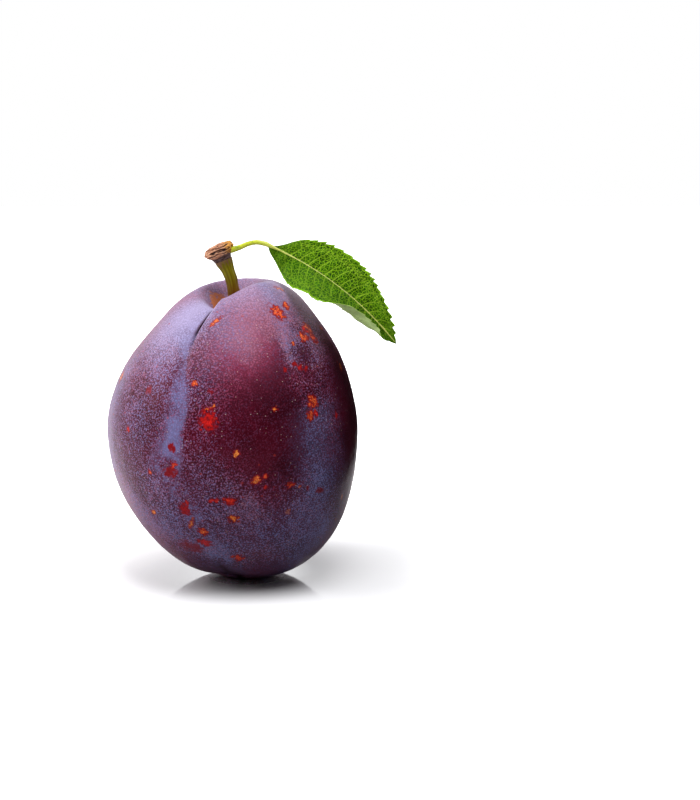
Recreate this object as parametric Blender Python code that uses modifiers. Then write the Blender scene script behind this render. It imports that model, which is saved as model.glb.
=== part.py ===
"""A ripe plum as picked: the fruit, its stalk, the woody spur knob that the stalk grew from, and one leaf.

Metres, +Z up. The origin is the middle of the small flat spot that the fruit rests on. The plum's
front is its -Y side, and its suture is turned a little to the left of that.
"""

import math

import bmesh
import bpy
import numpy as np
from mathutils import Vector

MM = 0.001
GAP = 0.3 * MM  # kept between pieces that meet

# The fruit: two half superellipses that join at the belly, turned round and leaning to the left
BELLY_RADIUS = 25.0 * MM
BELLY_HEIGHT = 30.4 * MM
UPPER_HEIGHT = 32.1 * MM  # belly up to where the upper curve would close, were there no cavity
TOP = BELLY_HEIGHT + UPPER_HEIGHT
LOWER_ROUNDNESS = 2.11  # superellipse exponents: 2 is an ellipse, and less is more pointed
UPPER_ROUNDNESS = 1.72
SPOT_RADIUS = 4.2 * MM  # the flat spot that it rests on
DEPTH_SHARE = 0.95  # the fruit is a little flatter from front to back
LEAN = -2.5 * MM  # how far the belly swells to the left of the resting spot
LEAN_ROUNDNESS = 1.25
SHOULDER = 0.7 * MM  # how much slimmer the shoulders are than a superellipse
SHOULDER_HEIGHT = 53.3 * MM
SHOULDER_SPREAD = 7.0 * MM

# The stem cavity, and the lobe right of the suture that stands up beside it
CAVITY_X = -2.0 * MM
CAVITY_DEPTH = 6.9 * MM
CAVITY_RADIUS = 4.9 * MM
CAVITY_STEEPNESS = 2.8
CREST = 0.9 * MM
CREST_TURN = 30.0  # degrees from the front, positive to the right
CREST_SPREAD = 45.0
CREST_RADIUS = 7.5 * MM
CREST_WIDTH = 3.5 * MM

# The suture: a groove with a gentle left side and a steep right one, deepest at the cavity's rim
SUTURE_TURN = -19.5  # degrees from the front
SUTURE_BEND = -5.5  # more degrees to the left, most at SUTURE_BEND_HEIGHT
SUTURE_BEND_HEIGHT = 49.5 * MM
SUTURE_BEND_SPREAD = 8.0 * MM
SUTURE_DEPTH = 0.3 * MM
RIM_DEPTH = 5.5 * MM
RIM_REACH = 5.2 * MM
TIP_DEPTH = 0.9 * MM
TIP_REACH = 4.5 * MM
SUTURE_LEFT_WIDTH = 4.5 * MM
SUTURE_WALL_WIDTH = 0.8 * MM  # the steep part of its right side
SUTURE_SLOPE_WIDTH = 5.0 * MM  # the gentle part above that
SUTURE_WALL_SHARE = 0.55
GROOVE_FADE = (1.5 * MM, 5.0 * MM)  # distances from the cavity's middle between which it fades in

# The fruit's mesh
FRUIT_SEGMENTS = 72
FRUIT_RINGS = 48
SPOT_RINGS = 3  # rings of vertices on the flat spot
TOP_CROWDING = 1.7  # above 1, rings crowd towards the cavity
SUTURE_CROWDING = 0.55  # 0 spaces the segments evenly, and near 1 crowds them at the suture

# The stalk, from the cavity up: x, y, z in millimetres and how many times STALK_RADIUS
STALK_RADIUS = 1.2 * MM
STALK_PATH = (
    (-1.7, 0.0, 56.25, 1.12),
    (-2.1, 0.0, 58.2, 1.0),
    (-2.5, 0.0, 60.4, 1.0),
    (-3.2, 0.0, 62.4, 1.12),
    (-4.0, 0.0, 64.1, 1.36),
)
STALK_STEPS = 14

# The spur knob, turned about its own axis: radius and height in millimetres, top to bottom
KNOB_PROFILE = (
    (0.0, 3.05),
    (1.5, 3.0),
    (2.35, 2.8),
    (2.62, 2.3),
    (2.5, 1.6),
    (2.05, 0.8),
    (1.75, 0.0),
    (0.0, 0.0),
)
KNOB_STEPS = 28

# The leaf, in millimetres: a petiole that runs on as the midrib, a cubic curve with these controls
PETIOLE_PATH = ((-1.6, -0.3, 66.35), (-0.4, -0.5, 66.5), (1.2, -0.8, 67.45), (2.7, -0.95, 67.7))
PETIOLE_STEPS = 12
MIDRIB = ((4.4, -1.05, 67.6), (14.15, -3.5, 63.85), (23.5, -6.1, 57.15), (30.1, -8.0, 48.8))
MIDRIB_STEPS = 20
PETIOLE_RADIUS = 0.45 * MM
MIDRIB_END_SHARE = 0.35  # the midrib's radius at the tip, as a share of the petiole's
BLADE_HALF_WIDTH = 7.0 * MM
BLADE_THICKNESS = 0.4 * MM
BLADE_START, BLADE_END = 0.015, 0.99  # shares of the midrib
BLADE_ALONG = 36
BLADE_ACROSS = 9  # steps from the midrib to each margin
WALK_STEPS = 24

# The blade is folded along the midrib like a boat
FAR_TILT = -16.0  # degrees that the upper half leans towards the front
NEAR_TILT = 56.0  # degrees that the lower half leans towards the front, at mid length
NEAR_ROLL = 165.0  # more degrees that its margin rolls up, towards the tip


def smooth_step(x, start, end):
    """0 before start, 1 after end, and a smooth rise between."""
    t = np.clip((x - start) / (end - start), 0, 1)
    return t * t * (3 - 2 * t)


def bump(x, middle, spread):
    """A bell curve: 1 at the middle, about a third at one spread from it."""
    return np.exp(-(((x - middle) / spread) ** 2))


def suture_turn(z):
    """The suture's bearing at height z, in radians from the front."""
    return np.radians(SUTURE_TURN + SUTURE_BEND * bump(z, SUTURE_BEND_HEIGHT, SUTURE_BEND_SPREAD))


def suture_groove(offset, z):
    """How deep the groove is at height z, offset metres to the right of its lowest line."""
    depth = SUTURE_DEPTH + RIM_DEPTH * np.exp((z - TOP) / RIM_REACH) + TIP_DEPTH * np.exp(-z / TIP_REACH)
    left = bump(offset, 0, SUTURE_LEFT_WIDTH)
    wall = bump(offset, 0, SUTURE_WALL_WIDTH)
    slope = bump(offset, 0, SUTURE_SLOPE_WIDTH)
    right = SUTURE_WALL_SHARE * wall + (1 - SUTURE_WALL_SHARE) * slope
    return depth * np.where(offset < 0, left, right)


def fruit_skin(turn, rise):
    """A point of the skin: turn is its bearing in radians from the front, and rise goes from 0 at
    the underside's middle to 1 at the cavity's bottom."""
    spot_share = SPOT_RINGS / FRUIT_RINGS
    spot_angle = -math.acos((SPOT_RADIUS / BELLY_RADIUS) ** (LOWER_ROUNDNESS / 2))
    lower_height = BELLY_HEIGHT / math.sin(-spot_angle) ** (2 / LOWER_ROUNDNESS)
    share = np.clip((rise - spot_share) / (1 - spot_share), 0, 1)
    angle = spot_angle + (math.pi / 2 - spot_angle) * (1 - (1 - share) ** TOP_CROWDING)
    roundness = np.where(angle > 0, UPPER_ROUNDNESS, LOWER_ROUNDNESS)
    half_height = np.where(angle > 0, UPPER_HEIGHT, lower_height)
    radius = BELLY_RADIUS * np.clip(np.cos(angle), 0, 1) ** (2 / roundness)
    radius = radius * np.minimum(rise / spot_share, 1)
    z = BELLY_HEIGHT + half_height * np.sign(angle) * np.abs(np.sin(angle)) ** (2 / roundness)
    z = np.maximum(z, 0)

    radius = radius - SHOULDER * bump(z, SHOULDER_HEIGHT, SHOULDER_SPREAD)
    lean = LEAN * np.sin(math.pi * np.clip(z / TOP, 0, 1)) ** LEAN_ROUNDNESS
    lean = lean + CAVITY_X * smooth_step(angle, 1.0, 1.5)
    groove = suture_groove(radius * (turn - suture_turn(z)), z)
    groove = groove * smooth_step(z, 0, 1 * MM) * smooth_step(radius, *GROOVE_FADE)
    radius = radius - groove * np.cos(angle)
    z = np.maximum(z - groove * np.sin(angle), 0)
    x = lean + radius * np.sin(turn)
    y = -DEPTH_SHARE * radius * np.cos(turn)

    crest = bump(turn, math.radians(CREST_TURN), math.radians(CREST_SPREAD))
    z = z + CREST * crest * bump(radius, CREST_RADIUS, CREST_WIDTH) * (angle > 0)
    from_cavity = np.hypot(x - CAVITY_X, y) / CAVITY_RADIUS
    z = z - CAVITY_DEPTH * np.exp(-(from_cavity**CAVITY_STEEPNESS)) * (angle > 0)
    return np.stack([x, y, z], axis=-1)


def bezier(points, t):
    """The point at t, from 0 to 1, along a cubic curve with these four control points."""
    a, b, c, d = (Vector(p) for p in points)
    return a * (1 - t) ** 3 + 3 * b * t * (1 - t) ** 2 + 3 * c * t**2 * (1 - t) + d * t**3


def rounded_path(points, steps):
    """A smooth curve through the points (Catmull-Rom), as steps + 1 points."""
    points = np.array(points, float)
    padded = np.vstack([2 * points[0] - points[1], points, 2 * points[-1] - points[-2]])
    made = []
    for s in np.linspace(0, len(points) - 1, steps + 1):
        i = min(int(s), len(points) - 2)
        t = s - i
        a, b, c, d = padded[i : i + 4]
        square, cube = 2 * a - 5 * b + 4 * c - d, 3 * b - a - 3 * c + d
        made.append(0.5 * (2 * b + (c - a) * t + square * t**2 + cube * t**3))
    return made


def blade_tilt(t, side, share):
    """Degrees that the blade leans towards the front: t along the midrib, and share across."""
    if side > 0:
        return FAR_TILT
    tilt = NEAR_TILT * smooth_step(t, 0.1, 0.42) * (1 - 0.85 * smooth_step(t, 0.5, 0.9))
    roll = NEAR_ROLL * smooth_step(t, 0.45, 0.8) * (1 - smooth_step(t, 0.84, 0.96))
    return float(tilt + roll * smooth_step(share, 0.4, 0.85))


def blade_point(t, side, share):
    """A point of the blade: t along the midrib, side 1 for its upper half and -1 for its lower one,
    and share from 0 at the midrib to 1 at the margin. It is walked outwards from the midrib in
    short steps, each in the direction that the blade leans in there."""
    ahead = (bezier(MIDRIB, t + 0.01) - bezier(MIDRIB, t - 0.01)).normalized()
    front = Vector((0, -1, 0))
    front = (front - front.dot(ahead) * ahead).normalized()
    outward = front.cross(ahead) * side
    half_width = BLADE_HALF_WIDTH * math.sin(math.pi * t**0.95) ** 1.05
    point = bezier(MIDRIB, t) * MM
    for step in range(WALK_STEPS):
        tilt = math.radians(blade_tilt(t, side, share * (step + 0.5) / WALK_STEPS))
        point += (outward * math.cos(tilt) + front * math.sin(tilt)) * half_width * share / WALK_STEPS
    return point


def clear_scene():
    for obj in list(bpy.data.objects):
        bpy.data.objects.remove(obj, do_unlink=True)


def new_collection(name):
    collection = bpy.data.collections.new(name)
    bpy.context.scene.collection.children.link(collection)
    return collection


def new_material(name, color, roughness):
    material = bpy.data.materials.new(name)
    material.use_nodes = True
    shader = material.node_tree.nodes["Principled BSDF"]
    shader.inputs["Base Color"].default_value = (*color, 1)
    shader.inputs["Roughness"].default_value = roughness
    shader.inputs["Metallic"].default_value = 0
    return material


def new_object(name, data, collection, material=None):
    obj = bpy.data.objects.new(name, data)
    collection.objects.link(obj)
    if material:
        obj.data.materials.append(material)
    return obj


def mesh_from(bm, name):
    mesh = bpy.data.meshes.new(name)
    bmesh.ops.recalc_face_normals(bm, faces=bm.faces)
    bm.to_mesh(mesh)
    bm.free()
    mesh.shade_smooth()
    return mesh


def make_fruit(collection):
    """A sphere whose rings and segments are moved out to the skin."""
    bm = bmesh.new()
    bmesh.ops.create_uvsphere(bm, u_segments=FRUIT_SEGMENTS, v_segments=FRUIT_RINGS, radius=1)
    for vert in bm.verts:
        rise = math.atan2(math.hypot(vert.co.x, vert.co.y), -vert.co.z) / math.pi
        spacing = math.atan2(vert.co.x, -vert.co.y)
        turn = spacing - SUTURE_CROWDING * math.sin(spacing) + math.radians(SUTURE_TURN)
        vert.co = fruit_skin(turn, rise)
    skin = new_material("plum_skin", (0.11, 0.035, 0.09), 0.42)
    return new_object("fruit", mesh_from(bm, "fruit"), collection, skin)


def tube(name, path, radius, sides, collection, material=None):
    """A curve object with filled caps. Each point of the path is x, y, z in metres and a share of
    the radius, and sides is its bevel_resolution."""
    curve = bpy.data.curves.new(name, "CURVE")
    curve.dimensions = "3D"
    curve.bevel_depth = radius
    curve.bevel_resolution = sides
    curve.use_fill_caps = True
    spline = curve.splines.new("POLY")
    spline.points.add(len(path) - 1)
    for point, (x, y, z, share) in zip(spline.points, path):
        point.co = (x, y, z, 1)
        point.radius = share
    return new_object(name, curve, collection, material)


def as_mesh(obj, collection):
    """The curve object as a mesh object of the same name, its caps welded."""
    graph = bpy.context.evaluated_depsgraph_get()
    bm = bmesh.new()
    bm.from_mesh(bpy.data.meshes.new_from_object(obj.evaluated_get(graph)))
    name, matrix = obj.name, obj.matrix_world.copy()
    bpy.data.objects.remove(obj, do_unlink=True)
    bmesh.ops.remove_doubles(bm, verts=bm.verts, dist=0.001 * MM)
    made = new_object(name, mesh_from(bm, name), collection)
    made.matrix_world = matrix
    return made


def make_stalk(collection):
    path = [(*point[:3] * MM, point[3]) for point in rounded_path(STALK_PATH, STALK_STEPS)]
    green = new_material("stalk_green", (0.16, 0.13, 0.02), 0.5)
    return tube("stem", path, STALK_RADIUS, 4, collection, green)


def make_knob(collection):
    """A turned profile, standing square on the stalk's end."""
    bm = bmesh.new()
    verts = [bm.verts.new((radius * MM, 0, height * MM)) for radius, height in KNOB_PROFILE]
    for above, below in zip(verts, verts[1:]):
        bm.edges.new((above, below))
    mesh = bpy.data.meshes.new("spur_knob")
    bm.to_mesh(mesh)
    bm.free()
    knob = new_object("spur_knob", mesh, collection, new_material("spur_wood", (0.2, 0.1, 0.06), 0.8))
    screw = knob.modifiers.new("turn", "SCREW")
    screw.steps = screw.render_steps = KNOB_STEPS
    screw.use_merge_vertices = True
    screw.merge_threshold = 0.01 * MM
    screw.use_smooth_shade = True
    end, before = Vector(STALK_PATH[-1][:3]), Vector(STALK_PATH[-2][:3])
    along = (end - before).normalized()
    knob.location = end * MM + along * GAP
    knob.rotation_euler = (0, math.atan2(along.x, along.z), 0)
    return knob


def make_blade(collection):
    """An open sheet, walked out from the midrib to both margins and thickened with Solidify."""
    shares = [k / BLADE_ACROSS for k in range(BLADE_ACROSS + 1)]
    across = [(-1, share) for share in reversed(shares[1:])] + [(1, share) for share in shares]
    bm = bmesh.new()
    rows = []
    for i in range(BLADE_ALONG + 1):
        t = BLADE_START + (BLADE_END - BLADE_START) * i / BLADE_ALONG
        rows.append([bm.verts.new(blade_point(t, side, share)) for side, share in across])
    for row, following in zip(rows, rows[1:]):
        for k in range(len(row) - 1):
            bm.faces.new((row[k], following[k], following[k + 1], row[k + 1]))
    green = new_material("leaf_green", (0.07, 0.2, 0.015), 0.4)
    blade = new_object("leaf", mesh_from(bm, "leaf"), collection, green)
    solidify = blade.modifiers.new("thickness", "SOLIDIFY")
    solidify.thickness = BLADE_THICKNESS
    solidify.offset = 0
    return blade


def make_leaf(collection, helpers):
    """The blade, joined to a tapering tube that is the petiole and the midrib."""
    blade = make_blade(collection)
    petiole = rounded_path((*PETIOLE_PATH, MIDRIB[0]), PETIOLE_STEPS)[:-1]
    path = [(*point * MM, 1) for point in petiole]
    for i in range(MIDRIB_STEPS):
        t = BLADE_END * i / MIDRIB_STEPS
        path.append((*bezier(MIDRIB, t) * MM, 1 - (1 - MIDRIB_END_SHARE) * t))
    rib = as_mesh(tube("petiole_and_midrib", path, PETIOLE_RADIUS, 2, helpers), helpers)
    rib.hide_render = True
    rib.display_type = "WIRE"
    join = blade.modifiers.new("petiole_and_midrib", "BOOLEAN")
    join.operation = "UNION"
    join.object = rib
    return blade


def main():
    clear_scene()
    plum = new_collection("plum")
    helpers = new_collection("plum_helpers")
    make_fruit(plum)
    make_stalk(plum)
    make_knob(plum)
    make_leaf(plum, helpers)


main()
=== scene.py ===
# %% [markdown]
# # A ripe plum with its stalk and one leaf
#
# This lesson dresses a plum. Its solids are already made to size: the fruit, the stalk, the woody
# knob that the stalk grew from, and the leaf. Here each of them gets a finer surface and a finish
# that looks grown. The frame is loaded first, because every position comes from it.

# %% Load the frame
import math

import bpy
import numpy as np
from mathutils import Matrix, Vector


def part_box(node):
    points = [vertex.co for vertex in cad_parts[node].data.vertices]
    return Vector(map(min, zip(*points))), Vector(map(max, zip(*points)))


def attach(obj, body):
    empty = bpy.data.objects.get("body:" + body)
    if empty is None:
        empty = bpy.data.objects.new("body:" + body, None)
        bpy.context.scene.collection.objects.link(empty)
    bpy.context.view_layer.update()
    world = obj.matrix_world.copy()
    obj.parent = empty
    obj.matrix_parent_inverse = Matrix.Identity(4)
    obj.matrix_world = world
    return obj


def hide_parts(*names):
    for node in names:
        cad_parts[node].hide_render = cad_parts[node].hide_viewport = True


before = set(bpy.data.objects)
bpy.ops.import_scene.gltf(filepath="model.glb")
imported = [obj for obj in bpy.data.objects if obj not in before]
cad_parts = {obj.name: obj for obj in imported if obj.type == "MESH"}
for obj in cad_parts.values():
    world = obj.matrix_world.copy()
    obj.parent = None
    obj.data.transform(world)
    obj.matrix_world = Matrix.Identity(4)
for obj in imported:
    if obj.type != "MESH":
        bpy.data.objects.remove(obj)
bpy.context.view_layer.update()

MM = 0.001
for node_name in sorted(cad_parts):
    low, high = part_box(node_name)
    print(f"{node_name}: {[round(v / MM, 1) for v in (*low, *high)]}")

# %% [markdown]
# ## The studio
#
# The plum lies on a white table in a white room. A camera a little above table height, with a long
# lens from close by, shows the front of the fruit and just a glimpse of the cavity. Anything seen
# directly is white. What the skin mirrors is another matter: dark cloth hangs behind the camera and
# a dark card stands to the right, so that dark skin stays dark. Two soft lamps light the fruit, one
# from high in front and one from the left.

# %% Putting things in the scene
def new_object(name, data):
    thing = bpy.data.objects.new(name, data)
    bpy.context.scene.collection.objects.link(thing)
    return thing


# %% Camera
AIM = Vector((21.0, 0.0, 36.0)) * MM
CAMERA_DISTANCE = 450 * MM
CAMERA_RISE = math.radians(12)
LENS = 101.25
SENSOR = 36.0


def look_from_front(aim, distance, rise):
    """A camera at aim + distance * (0, -cos rise, sin rise), tipped down by the same rise."""
    data = bpy.data.cameras.new("studio_camera")
    data.lens, data.sensor_width, data.clip_start = LENS, SENSOR, 0.01
    camera = new_object("studio_camera", data)
    camera.location = aim + distance * Vector((0, -math.cos(rise), math.sin(rise)))
    camera.rotation_euler = (math.pi / 2 - rise, 0, 0)
    bpy.context.scene.camera = camera
    return camera


camera = look_from_front(AIM, CAMERA_DISTANCE, CAMERA_RISE)
bpy.context.scene.view_settings.view_transform = "Standard"
print("camera at mm:", [round(v / MM, 1) for v in camera.location])


# %% [markdown]
# ### Nodes as arithmetic
#
# The room's light and every finish are trees of shader nodes. They could be drawn by hand in the
# shader editor. Here each output is a Wire that can be added, multiplied and mixed like a number,
# so a finish reads as a short formula, and Blender still gets plain nodes.

# %% Adding a node
def add(tree, kind, inputs=(), **settings):
    """A new node. inputs is a dict of socket name or number to a value, a socket or a Wire."""
    node = tree.nodes.new(kind)
    for name, value in settings.items():
        setattr(node, name, value)
    for key, value in dict(inputs).items():
        value = getattr(value, "socket", value)
        if isinstance(value, bpy.types.NodeSocket):
            tree.links.new(value, node.inputs[key])
        else:
            node.inputs[key].default_value = value
    return node


# %% Outputs to reckon with
class Wire:
    """One output of a node, which can be reckoned with like a number: a * b makes a Math node."""

    def __init__(self, tree, socket):
        self.tree, self.socket = tree, socket

    def node(self, kind, inputs, output=0, **settings):
        return Wire(self.tree, add(self.tree, kind, inputs, **settings).outputs[output])

    def math(self, operation, *values):
        return self.node("ShaderNodeMath", dict(enumerate(values)), operation=operation)

    def __add__(self, other):
        return self.math("ADD", self, other)

    def __mul__(self, other):
        return self.math("MULTIPLY", self, other)

    def __rsub__(self, other):
        return self.math("SUBTRACT", other, self)

    def __rtruediv__(self, other):
        return self.math("DIVIDE", other, self)

    def larger(self, other):
        return self.math("MAXIMUM", self, other)

    def vector(self, operation, *others, output=0):
        inputs = dict(enumerate((self, *others)))
        return self.node("ShaderNodeVectorMath", inputs, output, operation=operation)

    def part(self, number):
        """x, y or z of a vector, or red, green or blue of a colour."""
        return self.node("ShaderNodeSeparateXYZ", {0: self}, number)

    def ramp(self, start, end, low=0.0, high=1.0):
        """low where this is below start, high above end, and a smooth step between them."""
        inputs = {"Value": self, "From Min": start, "From Max": end, "To Min": low, "To Max": high}
        return self.node("ShaderNodeMapRange", inputs, interpolation_type="SMOOTHSTEP")

    def noise(self, scale, detail, output="Fac"):
        """Cloudy noise at this place, 0 to 1 and mostly near a half, with scale lumps to a unit."""
        return self.node("ShaderNodeTexNoise", {"Vector": self, "Scale": scale, "Detail": detail}, output)

    def around_zero(self, height):
        """A noise moved to lie around 0: (noise - 1/2) times height."""
        return self.math("MULTIPLY_ADD", self, height, -height / 2)

    def mix(self, first, second):
        """first where this is 0 and second where it is 1. Each is a colour or a Wire."""
        first, second = (c if isinstance(c, Wire) else (*c, 1.0) for c in (first, second))
        return self.node("ShaderNodeMix", {0: self, 6: first, 7: second}, 2, data_type="RGBA")

    def mark(self, name, output="Fac"):
        """A value that the mesh carries under this name."""
        return source(self.tree, "ShaderNodeAttribute", output, attribute_name=name)

    def other(self, output):
        """Another output of the same node."""
        return Wire(self.tree, self.socket.node.outputs[output])

    def to(self, socket):
        self.tree.links.new(self.socket, socket)


# %% Where wires start, and coats of colour
def source(tree, kind, output, **settings):
    """The named output of a new node that needs no input."""
    return Wire(tree, add(tree, kind, **settings).outputs[output])


def cover_with(color, *layers):
    """Coats of colour laid on in turn, each a mask and a colour that shows where the mask is 1."""
    for mask, coat in layers:
        color = mask.mix(color, coat)
    return color


# %% The room's light
ROOM_WHITE = 1.0
CLOTH_DARK = 0.03
CLOTH_SIDE, CLOTH_TOP = (0.2, -0.45), (0.9, 0.6)  # how far back it reaches, and how far up


def light_the_room():
    """Seen directly the room is white. Every other ray meets dark cloth behind the camera, up to
    about 60 degrees above the horizon, and white elsewhere."""
    world = bpy.data.worlds.new("studio_room")
    world.use_nodes = True
    tree = world.node_tree
    tree.nodes.clear()
    direction = source(tree, "ShaderNodeTexCoord", "Generated")
    cloth = direction.part(1).ramp(*CLOTH_SIDE) * direction.part(2).ramp(*CLOTH_TOP)
    seen = source(tree, "ShaderNodeLightPath", "Is Camera Ray")
    strength = cloth.ramp(0.0, 1.0, ROOM_WHITE, CLOTH_DARK).larger(seen)
    background = add(tree, "ShaderNodeBackground", {"Color": (1, 1, 1, 1), "Strength": strength})
    add(tree, "ShaderNodeOutputWorld", {"Surface": background.outputs[0]})
    bpy.context.scene.world = world


light_the_room()
print("room: white", ROOM_WHITE, "cloth", CLOTH_DARK)


# %% The lamps
def soft_lamp(name, place, target, size, power):
    """A square area lamp at place, in metres, turned towards target."""
    data = bpy.data.lights.new(name, "AREA")
    data.shape, data.size, data.energy = "SQUARE", size, power
    lamp = new_object(name, data)
    lamp.location = place
    lamp.rotation_euler = (Vector(target) - Vector(place)).to_track_quat("-Z", "Y").to_euler()
    return lamp


MIDDLE = (0.0, 0.0, 0.035)
key_lamp = soft_lamp("key_softbox", (0.100, -0.175, 0.545), MIDDLE, 0.32, 2.4)
left_lamp = soft_lamp("left_softbox", (-0.53, -0.10, 0.33), MIDDLE, 0.35, 2.3)
print("lamps:", key_lamp.name, left_lamp.name)

# %% [markdown]
# The table is a white board with a polish that only shows close to the fruit. A real one is lit so
# hard that it burns out to white, and only the shade under the fruit and its short mirror image
# remain. The polish is therefore laid on as a spot around the place where the fruit stands.

# %% The table
TABLE_HALF = 0.6
POLISH_FADE = (27 * MM, -1 * MM)
NEAR_FRUIT, GREY_SPOT = (38 * MM, 100 * MM), (27 * MM, -24 * MM, 0)
SEEN_NEAR, SEEN_FAR = (0.93, 0.93, 0.95), (1.8, 1.8, 1.8)
MIRRORED_NEAR, MIRRORED_FAR = (0.24, 0.24, 0.25), (0.95, 0.95, 0.97)


def table_finish():
    """White paint, mixed with a mirror whose share falls with the distance from the origin. The paint
    is brighter further out, so that the table melts into the room, and to every ray but the
    camera's it is grey near the fruit, so that it lights the underside less."""
    material = bpy.data.materials.new("white_table")
    material.use_nodes = True
    tree = material.node_tree
    tree.nodes.clear()
    place = source(tree, "ShaderNodeTexCoord", "Object")
    polish = place.vector("LENGTH", output="Value").ramp(*POLISH_FADE)
    out = place.vector("DISTANCE", GREY_SPOT, output="Value").ramp(*NEAR_FRUIT)
    seen = source(tree, "ShaderNodeLightPath", "Is Camera Ray")
    color = seen.mix(out.mix(MIRRORED_NEAR, MIRRORED_FAR), out.mix(SEEN_NEAR, SEEN_FAR))
    paint = add(tree, "ShaderNodeBsdfDiffuse", {"Color": color})
    mirror = add(tree, "ShaderNodeBsdfGlossy", {"Color": (0.95, 0.95, 0.97, 1), "Roughness": 0.06})
    mixed = add(tree, "ShaderNodeMixShader", {0: polish, 1: paint.outputs[0], 2: mirror.outputs[0]})
    add(tree, "ShaderNodeOutputMaterial", {"Surface": mixed.outputs[0]})
    return material


def stage_sheet(name, corners, material):
    """A flat four-cornered sheet that belongs to the studio."""
    mesh = bpy.data.meshes.new(name)
    mesh.from_pydata(corners, [], [(0, 1, 2, 3)])
    sheet = new_object(name, mesh)
    mesh.materials.append(material)
    return sheet


half = TABLE_HALF
corners = [(-half, -half, 0), (half, -half, 0), (half, half, 0), (-half, half, 0)]
stage_sheet("table", corners, table_finish())
print("table half side in m:", TABLE_HALF)

# %% The dark card
CARD_X = 38 * MM
CARD_NEAR, CARD_FAR, CARD_LOW, CARD_HIGH = -60 * MM, 160 * MM, 11 * MM, 62 * MM


def dark_card():
    """A black card that stands upright right of the fruit and ends a little above the table. It
    darkens the right flank, and neither the camera nor the lamps see it."""
    material = bpy.data.materials.new("black_card")
    material.use_nodes = True
    shader = material.node_tree.nodes["Principled BSDF"]
    shader.inputs["Base Color"].default_value = (0.01, 0.01, 0.01, 1)
    shader.inputs["Specular IOR Level"].default_value = 0
    x, near, far, low, high = CARD_X, CARD_NEAR, CARD_FAR, CARD_LOW, CARD_HIGH
    corners = [(x, near, low), (x, far, low), (x, far, high), (x, near, high)]
    card = stage_sheet("card", corners, material)
    card.visible_camera = card.visible_shadow = card.visible_transmission = False


dark_card()
print("card at x in mm:", CARD_X / MM)


# %% [markdown]
# ## Making surfaces from arrays
#
# Every piece here is a stack of closed rings: rings of skin from the resting spot up to the cavity,
# rings round a stalk, rings round the edge of a leaf. One function turns such a stack into a closed
# mesh, with a point in the middle of the first and of the last ring. It works on whole arrays, so a
# hundred thousand faces need no more lines than a hundred. From here on all lengths are in
# millimetres, and that function turns them into metres.


# %% From rings to a mesh
def ring_faces(rings, around):
    """Quads between neighbouring rings, then a fan of triangles at each end of the stack."""
    here = np.arange(rings * around).reshape(rings, around)
    beside = np.roll(here, -1, axis=1)
    quads = np.stack([here[:-1], beside[:-1], beside[1:], here[1:]], -1)
    first, last = np.full(around, here.size), np.full(around, here.size + 1)
    fans = np.stack([first, beside[0], here[0]], -1), np.stack([last, here[-1], beside[-1]], -1)
    return quads.reshape(-1, 4), np.concatenate(fans)


def with_middles(values):
    """Values on the rings as one list, with the mean of the first and of the last ring added."""
    flat = values.reshape(-1, *values.shape[2:])
    return np.concatenate([flat, values[:1].mean(axis=1), values[-1:].mean(axis=1)])


FIELDS = {1: ("FLOAT", "value"), 3: ("FLOAT_VECTOR", "vector"), 4: ("FLOAT_COLOR", "color")}


def make_piece(name, points, material, marks=()):
    """A closed smooth mesh object from points in mm, shaped (rings, around, 3). marks maps a name to
    values on the same grid: numbers, vectors or colours."""
    quads, fans = ring_faces(*points.shape[:2])
    mesh = bpy.data.meshes.new(name)
    mesh.from_pydata((with_middles(points) * MM).tolist(), [], quads.tolist() + fans.tolist())
    for label, values in dict(marks).items():
        kind, field = FIELDS[values[0, 0].size]
        layer = mesh.attributes.new(label, kind, "POINT")
        layer.data.foreach_set(field, with_middles(values).astype(np.float32).ravel())
    mesh.shade_smooth()
    mesh.materials.append(material)
    piece = new_object(name, mesh)
    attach(piece, "root")
    print(f"{name}: {2 * len(quads) + len(fans)} triangles")
    return piece


# %% Small functions that shape everything
def rise(x, start, end):
    """0 before start, 1 after end, and 3t^2 - 2t^3 between them."""
    t = np.clip((x - start) / (end - start), 0, 1)
    return t * t * (3 - 2 * t)


def bump(x, middle, spread):
    """exp(-((x - middle) / spread)^2): 1 at the middle, about a third one spread away."""
    return np.exp(-(((x - middle) / spread) ** 2))


def unit(vectors):
    """Vectors of length 1 with the same directions."""
    return vectors / np.maximum(np.linalg.norm(vectors, axis=-1, keepdims=True), 1e-12)


def full_circle(count):
    """Evenly spaced angles, from 0 to just before a whole turn."""
    return np.arange(count) / count * 2 * math.pi


def ripple(points, size, seed, count=20):
    """Smooth random relief, about -1 to 1: the sum of count plane waves with random directions, each
    about size long."""
    rng = np.random.default_rng(seed)
    waves = unit(rng.normal(size=(count, 3))) * (2 * math.pi / size)
    waves *= rng.uniform(0.7, 1.3, (count, 1))
    phases = rng.uniform(0, 2 * math.pi, count)
    total = np.zeros(points.shape[:-1])
    for wave, phase in zip(waves, phases):
        total += np.sin(points @ wave + phase)
    return total / math.sqrt(count)


# %% [markdown]
# ## The fruit
#
# A plum hangs by its stalk in a small cavity, and one seam, the suture, runs from the cavity's rim
# down the front to the tip. The flesh right of the suture stands a little proud, so near the rim it
# hangs over the other side. Seen as a formula it is two half superellipses turned round, one above
# the belly and one below, that lean a little to the left, with a groove and a cavity pushed in.

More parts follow.
